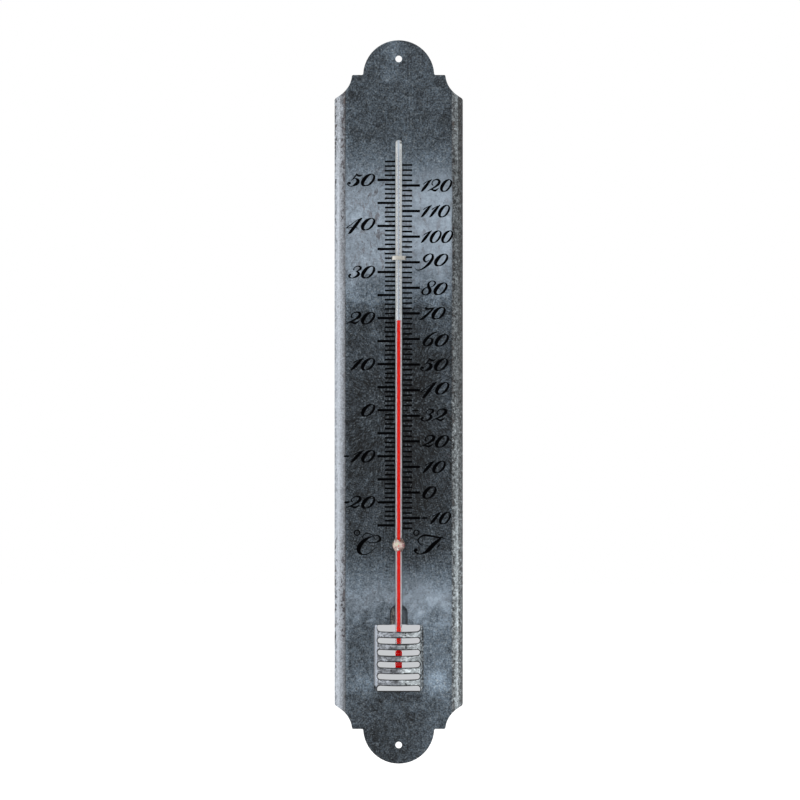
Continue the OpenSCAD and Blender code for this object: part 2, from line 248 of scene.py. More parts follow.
def off(g, value, middle):
    """How far value is from middle."""
    return g.math("ABSOLUTE", g.add(value, -middle))


def length(g, a, b):
    return g.math("SQRT", g.add(g.times(a, a), g.times(b, b)))


def from_point(g, x, z):
    """How far the place is from x, z, seen from the front."""
    return length(g, g.add(g.x, -x), g.add(g.z, -z))


def spotted(g, colour, spots, share):
    """The colour with round spots in it."""
    for x, z, r, tone in spots:
        spot = g.span(from_point(g, x * MM, z * MM), r * MM, r * 0.5 * MM, 0.0, share)
        colour = g.mix(spot, colour, linear(*tone))
    return colour


# How light the patina is: a share of the plate's height, from below, and the display level there.
PATINA = [
    (0.0, 56), (0.075, 64), (0.125, 91), (0.19, 91), (0.228, 138), (0.258, 98), (0.29, 56), (0.38, 41),
    (0.5, 40), (0.575, 47), (0.62, 58), (0.655, 104), (0.7, 152), (0.785, 151), (0.822, 108), (0.85, 76),
    (0.875, 67), (1.0, 64),
]
# Light clouds as x and z in millimetres and rise: beside the guard's lower corners, right of the tube,
# right of the recess, in the upper lobe, and left of the tube.
CLOUDS = [
    (-25.5, -195.5, 36.0), (26.8, -193.5, 42.0), (27.0, 70.0, 16.0), (29.0, 45.0, 12.0),
    (27.0, -131.0, 12.0), (-4.0, 244.5, 30.0), (-3.5, 227.0, 18.0), (-30.0, 30.0, 10.0),
]


def zinc_grain(g):
    """Fine grain and patches of the aged coating."""
    return g.noise(880.0, 2.0, 0.6), g.noise(150.0, 5.0, 0.62, warp=1.2)


def patina(g, cloud, patch):
    """The patina's level at each place, with uneven borders, and how hazy and how dark it is there."""
    height = sum_of(g, g.z, centred(g, cloud, 0.035), centred(g, patch, 0.012))
    stops = [(at, (v / 255, v / 255, v / 255, 1.0)) for at, v in PATINA]
    level = g.times(g.ramp(g.span(height, -HALF_PLATE, HALF_PLATE, smooth=False), stops), 255.0)
    haze = g.span(level, 80.0, 150.0)
    dark = g.rest_of(haze)
    right = g.span(g.x, -0.012, 0.02)
    low = g.span(g.z, -0.125, -0.15)
    level = g.add(level, g.times(low, g.lerp(right, -12.0, 10.0)))
    level = g.add(level, g.times(haze, g.lerp(right, -6.0, 6.0)))
    # The middle of the dark part is darkest just right of the tube.
    beside = g.span(off(g, g.x, 0.008), 0.004, 0.028, -9.0, 5.0)
    beside = g.add(beside, g.span(g.x, -0.012, -0.028, 0.0, -5.0))
    level = g.add(level, product(g, dark, beside, g.span(off(g, g.z, -0.01), 0.125, 0.095)))
    for x, z, rise in CLOUDS:
        away = g.add(from_point(g, x * MM, z * MM), centred(g, cloud, 0.016))
        level = g.add(level, g.span(away, 0.013, 0.003, 0.0, rise))
    return level, haze, dark


def bent_edges(g, side, fine, patch):
    """Colour of the bent edges, each of two facets: pale in painted light on the left, in painted shade and
    mottled on the right.
    """
    outer = g.span(side, RIDGE_X, RIDGE_X + 0.0008)
    rim = g.span(side, RIM_X - 0.0018, RIM_X)
    left = g.span(g.x, 0.001, -0.001)
    right = g.rest_of(left)
    top = g.span(g.add(g.z, centred(g, patch, 0.03)), 0.14, 0.19)
    below = g.span(g.z, 0.02, -0.13)
    # Painted light: the left edge, which faces the lamp, is pale, and its inner facet darkens towards the
    # crease as painted shade.
    left_level = g.lerp(outer, g.span(side, EDGE_X, RIDGE_X - 0.0003, 98.0, 132.0), 165.0)
    left_level = g.add(left_level, g.times(top, -16.0))
    # Painted shade: the right edge is darker, its outer facet darkest.
    right_level = g.lerp(outer, g.lerp(below, 88.0, 150.0), g.lerp(below, 72.0, 102.0))
    right_level = g.add(right_level, g.times(top, g.lerp(outer, 21.0, -25.0)))
    mottle = g.noise(430.0, 5.0, 0.68, warp=0.6)
    level = g.lerp(left, right_level, left_level)
    coarse = swing(g, mottle, g.lerp(left, 66.0, g.lerp(top, 12.0, 40.0)))
    level = sum_of(g, level, coarse, swing(g, fine, g.lerp(left, 30.0, 24.0)))
    # Light flecks, most of them on the right around the middle, and salt and pepper on its lower rim.
    fleck = g.span(g.noise(540.0, 3.0, 0.6, stretch=(1.0, 1.0, 0.75), warp=1.0), 0.55, 0.64)
    middle = g.span(off(g, g.z, -0.02), 0.035, 0.012, 0.25, 1.0)
    level = g.add(level, product(g, fleck, right, middle, 62.0))
    salt = swing(g, g.noise(820.0, 2.0, 0.7), 95.0)
    facet = g.span(side, RIDGE_X - 0.001, RIDGE_X + 0.0012)
    salt = product(g, salt, facet, right, g.span(below, 0.0, 1.0, 0.4, 1.0))
    level = g.add(level, salt)
    crease = product(g, right, g.span(side, EDGE_X + 0.0028, EDGE_X + 0.0014), g.span(mottle, 0.6, 0.44))
    level = g.add(level, product(g, crease, g.lerp(below, 0.4, 1.0), -52.0))
    level = g.add(level, product(g, right, g.span(off(g, side, RIDGE_X), 0.0012, 0.0004), below, 26.0))
    cool = display(g, level, 0.962, 1.0, 1.05)
    dull = display(g, level, 0.955, 1.005, 1.03)
    colour = g.mix(left, dull, cool)
    # Brown and dark wear in blotches along the crease and the rim, thickest in the upper corners.
    blotch = g.noise(470.0, 4.0, 0.66, warp=0.8)
    band = g.larger(g.span(side, EDGE_X + 0.0024, EDGE_X + 0.0008), rim)
    ends = g.larger(top, g.span(off(g, g.z, -0.125), 0.045, 0.02, 0.0, 0.75))
    share = g.lerp(left, g.lerp(top, 0.62, 0.8), g.lerp(ends, 0.5, 1.0))
    blotch = g.times(g.span(blotch, g.lerp(band, 0.58, 0.46), g.lerp(band, 0.68, 0.57)), share)
    worn = drift(g, patch, (66, 58, 56), (44, 46, 50), 0.4, 0.6)
    colour = g.mix(blotch, colour, worn)
    # Small dark pits along the crease and the rim of the left edge, thickest high up and low down.
    pit = g.span(g.noise(520.0, 4.0, 0.68, stretch=(1.0, 1.0, 0.7), warp=0.6), 0.53, 0.57)
    lane = g.span(off(g, side, EDGE_X + 0.0018), 0.0021, 0.0009)
    lane = g.larger(lane, g.span(side, RIM_X - 0.0011, RIM_X - 0.0001))
    thick = g.larger(g.span(g.z, 0.1, 0.13), g.span(off(g, g.z, -0.14), 0.05, 0.02))
    pit = product(g, pit, lane, left, g.lerp(thick, 0.25, 1.0))
    return g.mix(pit, colour, linear(46, 42, 46))


def zinc():
    """Zinc-coated sheet with an aged finish: dark patina, light haze, grain, specks and worn creases, with
    painted light and shade on its bent edges, along the tube, below the guard and in the recess.
    """
    g = Graph("zinc_patina")
    side = g.math("ABSOLUTE", g.x)
    fine, patch = zinc_grain(g)
    curl = g.span(off(g, g.noise(300.0, 3.0, 0.6, warp=1.8), 0.5), 0.045, 0.0)
    cloud = g.noise(48.0, 3.0, 0.55, warp=0.5)
    level, haze, dark = patina(g, cloud, patch)
    mid = g.noise(430.0, 2.0, 0.55, warp=0.3)
    level = g.add(level, swing(g, cloud, g.lerp(haze, 13.0, 14.0)))
    # The haze is smoother right of the tube than left of it.
    calm = g.lerp(haze, 1.0, g.span(g.x, -0.01, 0.01, 1.05, 0.65))
    for noise, in_dark, in_haze in ((patch, 27.0, 19.0), (mid, 18.0, 13.0), (fine, 40.0, 21.0)):
        level = g.add(level, g.times(swing(g, noise, g.lerp(haze, in_dark, in_haze)), calm))
    # Green-grey freckles and light curls, scattered in the dark.
    freckle = g.span(g.noise(620.0, 3.0, 0.6, stretch=(1.0, 1.0, 0.8)), 0.58, 0.68)
    level = sum_of(g, level, product(g, freckle, dark, 22.0), product(g, curl, dark, 16.0))
    # Crystals of the coating show in the haze, more so low on the plate.
    crystal = g.add(g.crystals(210.0, g.bent(300.0, 0.004)), -0.5)
    level = g.add(level, product(g, crystal, haze, g.span(g.z, 0.0, -0.1, 10.0, 24.0)))
    # Grimy smudges in the haze, most of them left of the tube, and small dark specks.
    grime = g.noise(1.0, 4.0, 0.66, stretch=(300.0, 300.0, 150.0), warp=0.8)
    beside = g.span(off(g, g.x, -0.008), 0.024, 0.006, 0.4, 1.0)
    grime = product(g, g.span(grime, 0.5, 0.66), haze, beside, g.span(g.z, -0.05, 0.05, 0.45, 1.0))
    level = g.add(level, g.times(grime, -46.0))
    few = g.span(g.noise(120.0), 0.44, 0.6)
    dot = product(g, g.span(g.cells(480.0, "Distance"), 0.22, 0.1), few, haze)
    level = g.add(level, g.times(dot, -52.0))
    # A thin shade along the tube and along the crease of each bent edge.
    along = g.span(off(g, g.z, 0.012), 0.168, 0.162)
    level = g.add(level, product(g, g.span(side, 0.003, 0.0024), along, g.lerp(haze, -13.0, -4.0)))
    level = g.add(level, g.span(side, EDGE_X - 0.0023, EDGE_X, 0.0, -9.0))
    # Painted shade below the guard.
    below = g.span(g.z, GUARD_LOW + 0.0037, GUARD_LOW + 0.0027)
    shade_reach = g.span(g.z, GUARD_LOW - 0.0088, GUARD_LOW - 0.0068)
    level = g.add(level, product(g, shade_reach, below, g.span(side, 0.018, 0.014), -15.0))
    # The dark part is lighter beside its left crease.
    crease = g.span(g.x, 0.0033 - EDGE_X, 0.0003 - EDGE_X)
    level = g.add(level, product(g, crease, g.span(side, EDGE_X, EDGE_X - 0.0006), dark, 22.0))
    bluish = g.mix(haze, display(g, level, 0.895, 1.01, 1.12), display(g, level))
    tinge = g.larger(product(g, freckle, dark), product(g, g.span(mid, 0.48, 0.62), dark, 0.4))
    colour = g.mix(tinge, bluish, display(g, level, 0.97, 1.015, 1.035))
    colour = g.mix(g.times(grime, 0.6), colour, display(g, level, 1.01, 0.99, 1.03))
    salt = g.span(g.noise(900.0, 1.0), 0.62, 0.74)
    colour = g.mix(product(g, salt, dark, 0.34), colour, linear(150, 162, 168))
    colour = recess(g, colour, fine)
    # A dark line of painted shade under the guard's last slot.
    under = g.span(g.z, GUARD_LOW - 0.001, GUARD_LOW - 0.0006)
    under = product(g, under, below, g.span(side, WALL_X, WALL_X - 0.0008), 0.92)
    colour = g.mix(under, colour, linear(24, 26, 28))
    broken = g.add(side, centred(g, patch, 0.0016))
    edges = bent_edges(g, side, fine, patch)
    colour = g.mix(g.span(broken, EDGE_X - 0.0006, EDGE_X + 0.0006), colour, edges)
    # Plain galvanised back, in crystals a few millimetres wide.
    plain = sum_of(g, 118.0, g.times(g.crystals(260.0), 26.0), swing(g, fine, 9.0), swing(g, patch, 8.0))
    back = g.times(g.span(g.facing(1), 0.15, 0.5), 0.9)
    colour = g.mix(back, colour, display(g, plain, 0.96, 1.0, 1.04))
    relief = sum_of(g, g.times(patch, 0.8), g.times(fine, 0.35), g.times(curl, 0.3))
    g.principled(
        Base_Color=colour,
        Metallic=0.62,
        Roughness=g.add(g.span(haze, 0.0, 1.0, 0.42, 0.54), centred(g, fine, 0.3)),
        Normal=g.bump(relief, 0.00012, 0.45),
    )
    return g.material


def recess(g, colour, fine):
    """The arched recess: a dark line of painted shade round it, grey and brown specks on its left, painted
    shade on its right.
    """
    reach = length(g, g.x, g.larger(g.add(g.z, -ARCH_Z), 0.0))
    low = g.span(g.z, ARCH_LOW, ARCH_LOW + 0.0004)
    inside = g.times(g.span(reach, ARCH_R, ARCH_R - 0.0005), low)
    hollow = drift(g, g.noise(620.0, 3.0, 0.65), (84, 84, 84), (176, 172, 164), 0.42, 0.62)
    # Painted shade: its right part darkens towards its right wall.
    plain = display(g, sum_of(g, 92.0, g.span(g.x, 0.0035, 0.0058, 0.0, -22.0), swing(g, fine, 14.0)))
    hollow = g.mix(g.span(g.x, -0.0034, -0.0022), hollow, plain)
    colour = g.mix(g.times(inside, 0.9), colour, hollow)
    # Painted shade of its wall: a dark line round it.
    line = product(g, g.span(off(g, reach, ARCH_R), 0.0006, 0.0002), low, 0.45)
    return g.mix(line, colour, linear(40, 42, 46))


def guard_zinc():
    """The louvred guard: the same sheet, rubbed bright by the press and lighter on its right as a painted
    reflection, with painted shade and grime round its slots.
    """
    g = Graph("zinc_pressed_guard")
    side = g.math("ABSOLUTE", g.x)
    fine, patch = zinc_grain(g)
    lying = g.noise(1.0, 4.0, 0.68, stretch=(210.0, 210.0, 640.0), warp=0.5)
    # Painted reflection: the bars grow lighter towards their right.
    level = g.span(g.x, -0.003, 0.006, 124.0, 170.0)
    level = g.add(level, g.span(g.x, -0.0145, -0.012, -10.0, 0.0))
    # The middle bars are darker on the left.
    middle = g.span(off(g, g.z, GUARD_Z), 0.013, 0.008)
    level = g.add(level, product(g, g.span(g.x, 0.001, -0.003), middle, -15.0))
    level = sum_of(g, level, 9.0, swing(g, lying, 54.0), swing(g, fine, 16.0), swing(g, patch, 46.0))
    # Rubbed streaks, lighter and more of them on the right as a painted reflection.
    rubbed = g.span(g.noise(1.0, 3.0, 0.6, stretch=(260.0, 260.0, 700.0)), 0.54, 0.64)
    level = g.add(level, g.times(rubbed, g.span(g.x, -0.004, 0.006, 14.0, 34.0)))
    # Dark pits, thickest in a broken line right of the middle, and at the left ends of the bars.
    near = g.span(off(g, g.add(g.x, centred(g, patch, 0.004)), PITS_X), 0.0011, 0.0004)
    pit = g.span(g.noise(480.0, 3.0, 0.6, stretch=(1.0, 1.0, 1.5)), 0.49, 0.57)
    ends = g.span(g.x, -0.01, -0.013, 0.34, 0.75)
    pit = g.times(pit, g.larger(near, ends))
    level = g.lerp(g.times(pit, 0.85), level, 44.0)
    # The walls of the hump: pale on the left as painted light, dull and flecked on the right, in painted
    # shade.
    wall = g.span(side, WALL_X - 0.0005, WALL_X)
    fleck = g.span(g.noise(640.0, 3.0, 0.65), 0.5, 0.6)
    shaded = g.span(side, WALL_X + 0.0008, WALL_X + 0.0014, 0.0, -90.0)
    corner = g.span(g.z, GUARD_LOW + 0.0045, GUARD_LOW + 0.0025, 0.0, -115.0)
    wall_left = sum_of(g, 204.0, swing(g, fine, 12.0), swing(g, patch, 12.0), shaded, corner)
    wall_right = sum_of(g, 126.0, g.times(fleck, 110.0), swing(g, fine, 26.0), shaded)
    level = g.lerp(wall, level, g.lerp(g.span(g.x, -0.001, 0.001), wall_left, wall_right))
    # The lower right corner shines.
    spark = g.span(from_point(g, WALL_X, GUARD_LOW + 0.0023), 0.0014, 0.0005)
    level = g.lerp(spark, level, 245.0)
    # A dark line round each slot, where the cut edge turns in: painted shade, with some dirt.
    lane = g.math("FRACT", g.times(g.add(g.z, -GUARD_Z), 1 / SLOT_PITCH))
    rise = centred(g, lane, SLOT_PITCH)
    run = g.larger(g.add(side, -SLOT_STRAIGHT), 0.0)
    uneven = g.add(centred(g, fine, 0.0008), centred(g, lying, 0.0016))
    gap = g.add(length(g, rise, run), uneven)
    level = g.lerp(g.times(g.span(gap, SLOT_HALF + 0.001, SLOT_HALF + 0.0004), 0.9), level, 34.0)
    # Painted shade: faces that point up or down, the slots' walls among them, are dark.
    level = g.lerp(g.span(g.math("ABSOLUTE", g.facing(2)), 0.5, 0.8), level, 48.0)
    cool = display(g, level, 0.965, 0.995, 1.045)
    colour = g.mix(g.span(g.x, -0.002, 0.004), cool, display(g, level, 0.97, 1.01, 1.03))
    relief = sum_of(g, patch, g.times(fine, 0.6), g.times(pit, -0.8))
    g.principled(
        Base_Color=colour,
        Metallic=0.62,
        Roughness=g.span(lying, 0.3, 0.7, 0.34, 0.52),
        Normal=g.bump(relief, 0.00015, 0.6),
    )
    return g.material


def glass():
    """Clear glass, drawn by hand, so its face is very slightly uneven along the stem."""
    g = Graph("clear_glass_finish")
    drawn = g.noise(1.0, stretch=(160.0, 160.0, 22.0))
    tint = g.mix(g.span(drawn, 0.3, 0.7), (0.985, 0.995, 0.995, 1.0), (0.998, 1.0, 0.998, 1.0))
    g.principled(
        Base_Color=tint,
        Roughness=0.0,
        IOR=1.52,
        Transmission_Weight=1.0,
        Specular_Tint=(0.3, 0.3, 0.3, 1.0),
        Normal=g.bump(drawn, 0.00001, 0.06),
    )
    return g.material


def milk():
    """The white stripe fused along the back of the stem, bluish in its middle, warm pink in the bead."""
    g = Graph("milk_glass")
    streak = g.noise(60.0, 3.0, stretch=(8.0, 8.0, 1.0))
    edge = drift(g, streak, (227, 229, 229), (233, 236, 237))
    # Painted light: below 52 mm, where the red thread runs, the edges are lighter against the shade that the
    # thread casts on them.
    edge = g.mix(g.span(g.z, 0.066, 0.052), edge, linear(244, 250, 254))
    middle = drift(g, streak, (208, 220, 236), (214, 224, 238))
    colour = g.mix(g.span(off(g, g.x, -0.00004), 0.00018, 0.00029), middle, edge)
    # In the bead the milk is cream and pink, with spots; its white spots are painted glints.
    bead = g.span(off(g, g.z, BEAD_Z * MM), 0.0046, 0.0036)
    blotch = g.noise(760.0, 3.0, 0.62)
    warm = drift(g, blotch, (216, 203, 191), (190, 158, 153), 0.36, 0.62)
    colour = g.mix(bead, colour, spotted(g, warm, BEAD_SPOTS, 0.95))
    # Spots in the closed tip: a dark dot, and a bright one that is a painted reflection.
    colour = spotted(g, colour, TIP_SPOTS, 0.9)
    # A small reddish dot at each degree of the Celsius row, a little right of the middle: a painted
    # reflection of the scale's marks in the bore.
    turn = g.math("FRACT", g.add(g.times(g.add(g.z, -FREEZING), 1 / DEGREE), 0.5))
    dot = g.times(g.span(off(g, turn, 0.5), 0.18, 0.08), g.span(off(g, g.x, 0.00015), 0.00015, 0.00006))
    dot = product(g, dot, g.span(g.z, 0.17, 0.168), g.span(g.z, -0.0887, -0.0867))
    colour = g.mix(g.times(dot, 0.7), colour, linear(140, 96, 92))
    g.principled(Base_Color=colour, Roughness=g.span(streak, 0.3, 0.7, 0.35, 0.5), Specular_IOR_Level=0.2)
    return g.material


def spirit():
    """Dyed spirit: bright orange-red in the thread, deep red in the bulb."""
    g = Graph("red_spirit_finish")
    slow = g.noise(90.0)
    bright = drift(g, g.x, (228, 26, 24), (236, 20, 6), -0.0004, 0.0004)
    bright = g.mix(g.span(slow, 0.3, 0.7), bright, linear(226, 30, 16))
    deep = drift(g, g.x, (255, 8, 16), (236, 0, 3), -0.0016, 0.0016)
    # Behind the upper slots the thread has no milk behind it, and the bars shade it; its colour there is
    # painted lighter against that shade.
    bright = g.mix(g.span(g.z, -0.1545, -0.1565), bright, linear(255, 44, 34))
    colour = g.mix(g.span(g.z, -0.17, -0.1722), bright, deep)
    # Its flat rear lies on the milk and takes the milk's white, so the milk beside it stays clean.
    rear = g.times(g.span(g.facing(1), 0.6, 0.9), g.span(g.z, -0.156, -0.155, 0.0, 0.85))
    colour = g.mix(rear, colour, linear(205, 205, 208))
    g.principled(Base_Color=colour, Roughness=g.span(slow, 0.3, 0.7, 0.3, 0.45), Specular_IOR_Level=0.0)
    return g.material


def strap():
    """The cream band over the tube, with painted highlights on its shoulders and painted shade on its ends in
    the slots.
    """
    g = Graph("cream_strap_finish")
    mottle = g.noise(700.0, 3.0, 0.6)
    colour = drift(g, mottle, (182, 179, 170), (200, 198, 190))
    # Painted highlights on its shoulders, where it turns round the tube.
    end = g.span(off(g, g.math("ABSOLUTE", g.x), 0.0037), 0.0009, 0.0003)
    colour = g.mix(g.times(end, 0.6), colour, linear(222, 220, 214))
    # Its ends, bent flat behind the plate, are painted dark as shade where the slots show them, darker on the
    # left.
    front = g.span(g.facing(1), -0.4, -0.7)
    end_in_shade = product(g, g.span(g.y, 0.0006, 0.0009), front, g.span(g.x, 0.004, -0.004, 0.45, 0.95))
    colour = g.mix(end_in_shade, colour, linear(52, 50, 48))
    g.principled(
        Base_Color=colour,
        Roughness=g.span(mottle, 0.3, 0.7, 0.35, 0.5),
        Normal=g.bump(mottle, 0.00003),
    )
    return g.material


def cement():
    """Dull, gritty hardened cement."""
    g = Graph("cement_finish")
    grit = g.noise(900.0, 4.0, 0.65)
    cloud = g.noise(220.0, 3.0)
    colour = drift(g, grit, (164, 160, 150), (198, 194, 184))
    colour = g.mix(g.span(cloud, 0.5, 0.7, 0.0, 0.5), colour, linear(146, 142, 132))
    g.principled(Base_Color=colour, Roughness=0.85, Normal=g.bump(grit, 0.00012))
    return g.material


def ink():
    """Dull printed ink, a little worn."""
    g = Graph("black_ink_finish")
    wear = g.noise(1300.0, 3.0, 0.6)
    colour = drift(g, wear, (1, 1, 2), (16, 18, 20), 0.55, 0.85)
    g.principled(Base_Color=colour, Roughness=g.span(wear, 0.3, 0.7, 0.7, 0.9), Specular_IOR_Level=0.02)
    return g.material


look = {
    "zinc_sheet": zinc(),
    "clear_glass": glass(),
    "white_glass": milk(),
    "red_spirit": spirit(),
    "cream_strap": strap(),
    "cement": cement(),
    "black_ink": ink(),
}
for node in nodes.values():
    for holder in node.material_slots:
        holder.material = look[holder.material.name]
for holder in nodes["bulb_guard"].material_slots:
    holder.material = guard_zinc()

# Pieces made as meshes.


def placed(name, data):
    """A new object in the scene."""
    made = bpy.data.objects.new(name, data)
    scene.collection.objects.link(made)
    return made


def finished(bm, name, outward=True):
    """The mesh, with its faces turned outward or, if that is False, as they were made."""
    if outward:
        bmesh.ops.recalc_face_normals(bm, faces=bm.faces)
    mesh = bpy.data.meshes.new(name)
    bm.to_mesh(mesh)
    bm.free()
    return mesh


def piece(bm, name, slot, body="thermometer", outward=True, smooth=True):
    """A piece of the part with a slot's material, riding on a body if one is named."""
    mesh = finished(bm, name, outward)
    made = placed(name, mesh)
    mesh.materials.append(look[slot])
    for face in mesh.polygons:
        face.use_smooth = smooth
    if smooth:
        mesh.set_sharp_from_angle(angle=radians(35))
    if body:
        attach(made, body)
    return made


# Strokes of the figures, drawn with a broad slanted pen: each point is x, z and the stroke's width, in
# tenths of a millimetre, from the middle of the figure.
FIGURES = {
    "0": [[
        (27, 40, 4), (40, 28, 11), (38.5, 9, 14), (27.5, -10.5, 13), (12, -27, 11), (-3, -37, 7),
        (-19, -40, 5), (-33, -37, 13), (-39.5, -26, 19), (-37.5, -10.5, 21), (-25, 9, 21), (-10, 25, 16.5),
        (8, 36, 10),
    ]],
    "1": [[
        (43, 42, 3), (26, 28, 11), (8, 10, 17), (-13, -12, 18.5), (-28, -28, 15), (-38, -37, 9),
        (-45, -41, 3),
    ], [
        (-25, 9, 3), (-16, 16, 5), (2, 25, 4), (26, 36, 3),
    ]],
    "2": [[
        (-7.5, 1, 3.5), (-16, 9, 8), (-14, 22.5, 5.5), (-1.5, 35, 4.5), (16.5, 41, 6), (34.5, 39, 12),
        (44, 27, 17.5), (37.5, 12, 17.5), (19.5, -3, 12.5), (-1.5, -15, 9), (-22.5, -25, 7),
        (-37.5, -31, 4.5), (-54, -39, 2),
    ], [
        (-30, -27, 6), (-16.5, -28.5, 9), (-1.5, -34, 11.5), (10.5, -35, 11.5), (24, -28.5, 8),
        (37.5, -18, 2.5),
    ]],
    "3": [[
        (-9, 15, 7), (-6, 27, 4.5), (9, 38, 4), (25.5, 40.5, 7), (39, 32, 13), (36, 20, 12),
        (22.5, 10.5, 7), (8, 4, 3),
    ], [
        (8, 4, 3), (19.5, -1, 11), (25.5, -12, 16.5), (16.5, -25.5, 14), (-1.5, -36, 8), (-21, -41.5, 3),
        (-37.5, -34.5, 9), (-42.5, -25.5, 9), (-33, -19, 13),
    ]],
    "4": [[
        (57, 55, 3), (48, 50, 11), (31.5, 32, 15), (11, 5, 19), (-9, -21, 18), (-24, -40, 16),
        (-34, -50, 9), (-41, -53, 3),
    ], [
        (48, 52, 2.5), (22, 42, 3), (-15, 14, 3.5), (-42, -4.5, 4.5), (-55, -14, 4),
    ], [
        (-55, -14, 3), (-36, -12, 2.5), (-12, -9, 2.5), (12, -9, 2.5), (22, -15, 3),
    ]],
    "5": [[
        (9.5, 43, 3), (15.5, 36, 10), (27.5, 29, 11), (40, 30, 8), (53.5, 36, 2),
    ], [
        (12, 37, 8), (1, 23, 7), (-11, 10, 5.5), (-24, -4, 2.5),
    ], [
        (-15, 4.5, 2), (-2, 9.5, 3), (12, 6, 11), (21.5, -5.5, 19), (17.5, -20, 20), (3, -32, 15),
        (-14, -41, 6), (-31, -44.5, 2.5), (-44.5, -36, 7), (-49.5, -27, 7), (-44.5, -20, 9), (-36, -22, 14),
    ]],
    "6": [[
        (57, 50, 2), (38.5, 47, 6), (15.5, 36, 9), (-12, 16.5, 13), (-33.5, -6.5, 18), (-45, -27, 16),
        (-41, -41, 10), (-30, -48, 6), (-13, -43.5, 10), (4, -31.5, 16), (12, -15.5, 16), (10.5, -2, 12),
        (0.5, 4.5, 5), (-12, 2.5, 2),
    ]],
    "7": [[
        (-4.5, 45, 4), (-8.5, 34.5, 13), (5.5, 31, 12), (24, 33, 9), (40, 36.5, 6), (56, 43.5, 2),
    ], [
        (49, 38, 4), (31, 22, 9), (5.5, -3.5, 13.5), (-17, -24, 15), (-34.5, -37, 13), (-52.5, -45, 3),
    ]],
    "8": [[
        (16, 9.5, 2.5), (28, 10, 4), (41, 22, 9), (46, 34, 9.5), (40, 43.5, 7.5), (25.5, 47.5, 3.5),
        (11, 42.5, 6), (-1.5, 28, 12), (0.5, 7.5, 17.5), (9.5, -14.5, 19), (6, -31.5, 15), (-8.5, -45, 8),
        (-23, -49.5, 4), (-39, -42.5, 9), (-45, -29, 11.5), (-36.5, -13.5, 8), (-23, -1, 5),
        (-8.5, 7.5, 2.5),
    ]],
    "9": [[
        (7.5, 16, 2), (-6, 5, 4), (-17, 4, 9), (-25.5, 16, 14), (-24.5, 30, 14), (-12, 45, 11),
        (5, 54.5, 7), (20.5, 58, 4.5), (33.5, 49.5, 11), (34, 30, 15), (22, 8.5, 17), (5, -13, 16),
        (-14.5, -30, 12), (-36.5, -45, 8), (-58, -53.5, 5), (-75, -52.5, 3.5), (-87, -43, 1.5),
    ]],
    "-": [[
        (-17, -1, 5), (-9, 0, 10), (11, 1, 10), (17, 1.5, 7),
    ]],
    "C": [[
        (20, 53, 4), (-9, 42, 12), (-37.5, 22, 20), (-61.5, -4.5, 25), (-72.5, -35, 25), (-66, -58, 18),
        (-48.5, -70.5, 8), (-26.5, -72, 6), (0, -61.5, 4.5), (22, -44, 3), (34.5, -31, 2),
    ], [
        (34.5, 40, 3), (33, 50, 3.5), (20, 64, 3.5), (-6.5, 75, 4.5), (-33, 69, 4.5), (-46, 50.5, 4),
        (-37.5, 34.5, 3), (-30, 30, 2.5),
    ], [
        (20, 53, 3), (44, 61.5, 3.5), (66, 56.5, 9), (77, 39.5, 13), (68.5, 23, 12), (48.5, 12.5, 5),
        (17.5, 10.5, 3.5), (-12.5, 17, 3),
    ]],
    "F": [[
        (-46, -13, 1.5), (-67.5, 3.5, 5), (-78, 26.5, 8), (-66, 46.5, 8), (-42, 59.5, 10), (-11, 60.5, 11),
        (24, 54, 9.5), (59.5, 46.5, 9), (86, 45, 7), (108, 39.5, 2),
    ], [
        (79, 44, 6), (95, 53, 2),
    ], [
        (83.5, 46.5, 7), (59.5, 24, 16), (33, 2, 23), (10, -22, 25), (-13, -45, 20), (-37.5, -61, 12),
        (-64, -68.5, 6), (-89.5, -59.5, 8), (-100, -47, 14), (-93, -40, 20),
    ], [
        (53, -22, 3), (63, -12.5, 8), (73, -3.5, 5),
    ]],
}
# The degree ring, a little wider at its sides. Its stroke and the nought's are closed.
FIGURES["o"] = [[
    (round(18 * sin(a), 1), round(18 * cos(a), 1), 7 if abs(sin(a)) > 0.8 else 6)
    for a in map(radians, range(0, 360, 30))
]]
CLOSED = ("0", "o")
UNIT = 0.1 * MM
# The y of the ink's face, and of its back, which lies in the sheet.
INK_FRONT, INK_BACK = -0.05 * MM, 0.02 * MM


def curve_point(a, b, c, d, t):
    """The value at share t of the way from b to c, on a Catmull-Rom curve through a, b, c and d."""
    square, cube = 2 * a - 5 * b + 4 * c - d, 3 * b - a - 3 * c + d
    return 0.5 * (2 * b + (c - a) * t + square * t**2 + cube * t**3)


def smooth_path(points, closed):
    """The points with more between them, on a smooth curve."""
    count, parts = len(points), 7
    out = []
    for i in range(count if closed else count - 1):
        if closed:
            four = [points[(i + k) % count] for k in (-1, 0, 1, 2)]
        else:
            four = [points[min(max(i + k, 0), count - 1)] for k in (-1, 0, 1, 2)]
        for step in range(parts):
            out.append([curve_point(*values, step / parts) for values in zip(*four)])
    if not closed:
        out.append(list(points[-1]))
    return out


def cap(rail, turns, way):
    """Rows that round off a stroke's end, way 1 for the last and -1 for the first."""
    middle, out, run = rail
    rows = []
    for turn in turns:
        s, c = sin(radians(turn)), cos(radians(turn))
        rows.append((middle + out * c + run * s * way, middle - out * c + run * s * way))
    return rows


def skin(bm, rings):
    """Faces between each ring of points and the next. A ring may be a single point."""
    made = []
    for one, two in zip(rings, rings[1:]):
        for k in range(max(len(one), len(two))):
            corners = [ring[i % len(ring)] for ring, i in ((one, k), (one, k + 1), (two, k + 1), (two, k))]
            made.append(bm.faces.new(list(dict.fromkeys(corners))))
    return made


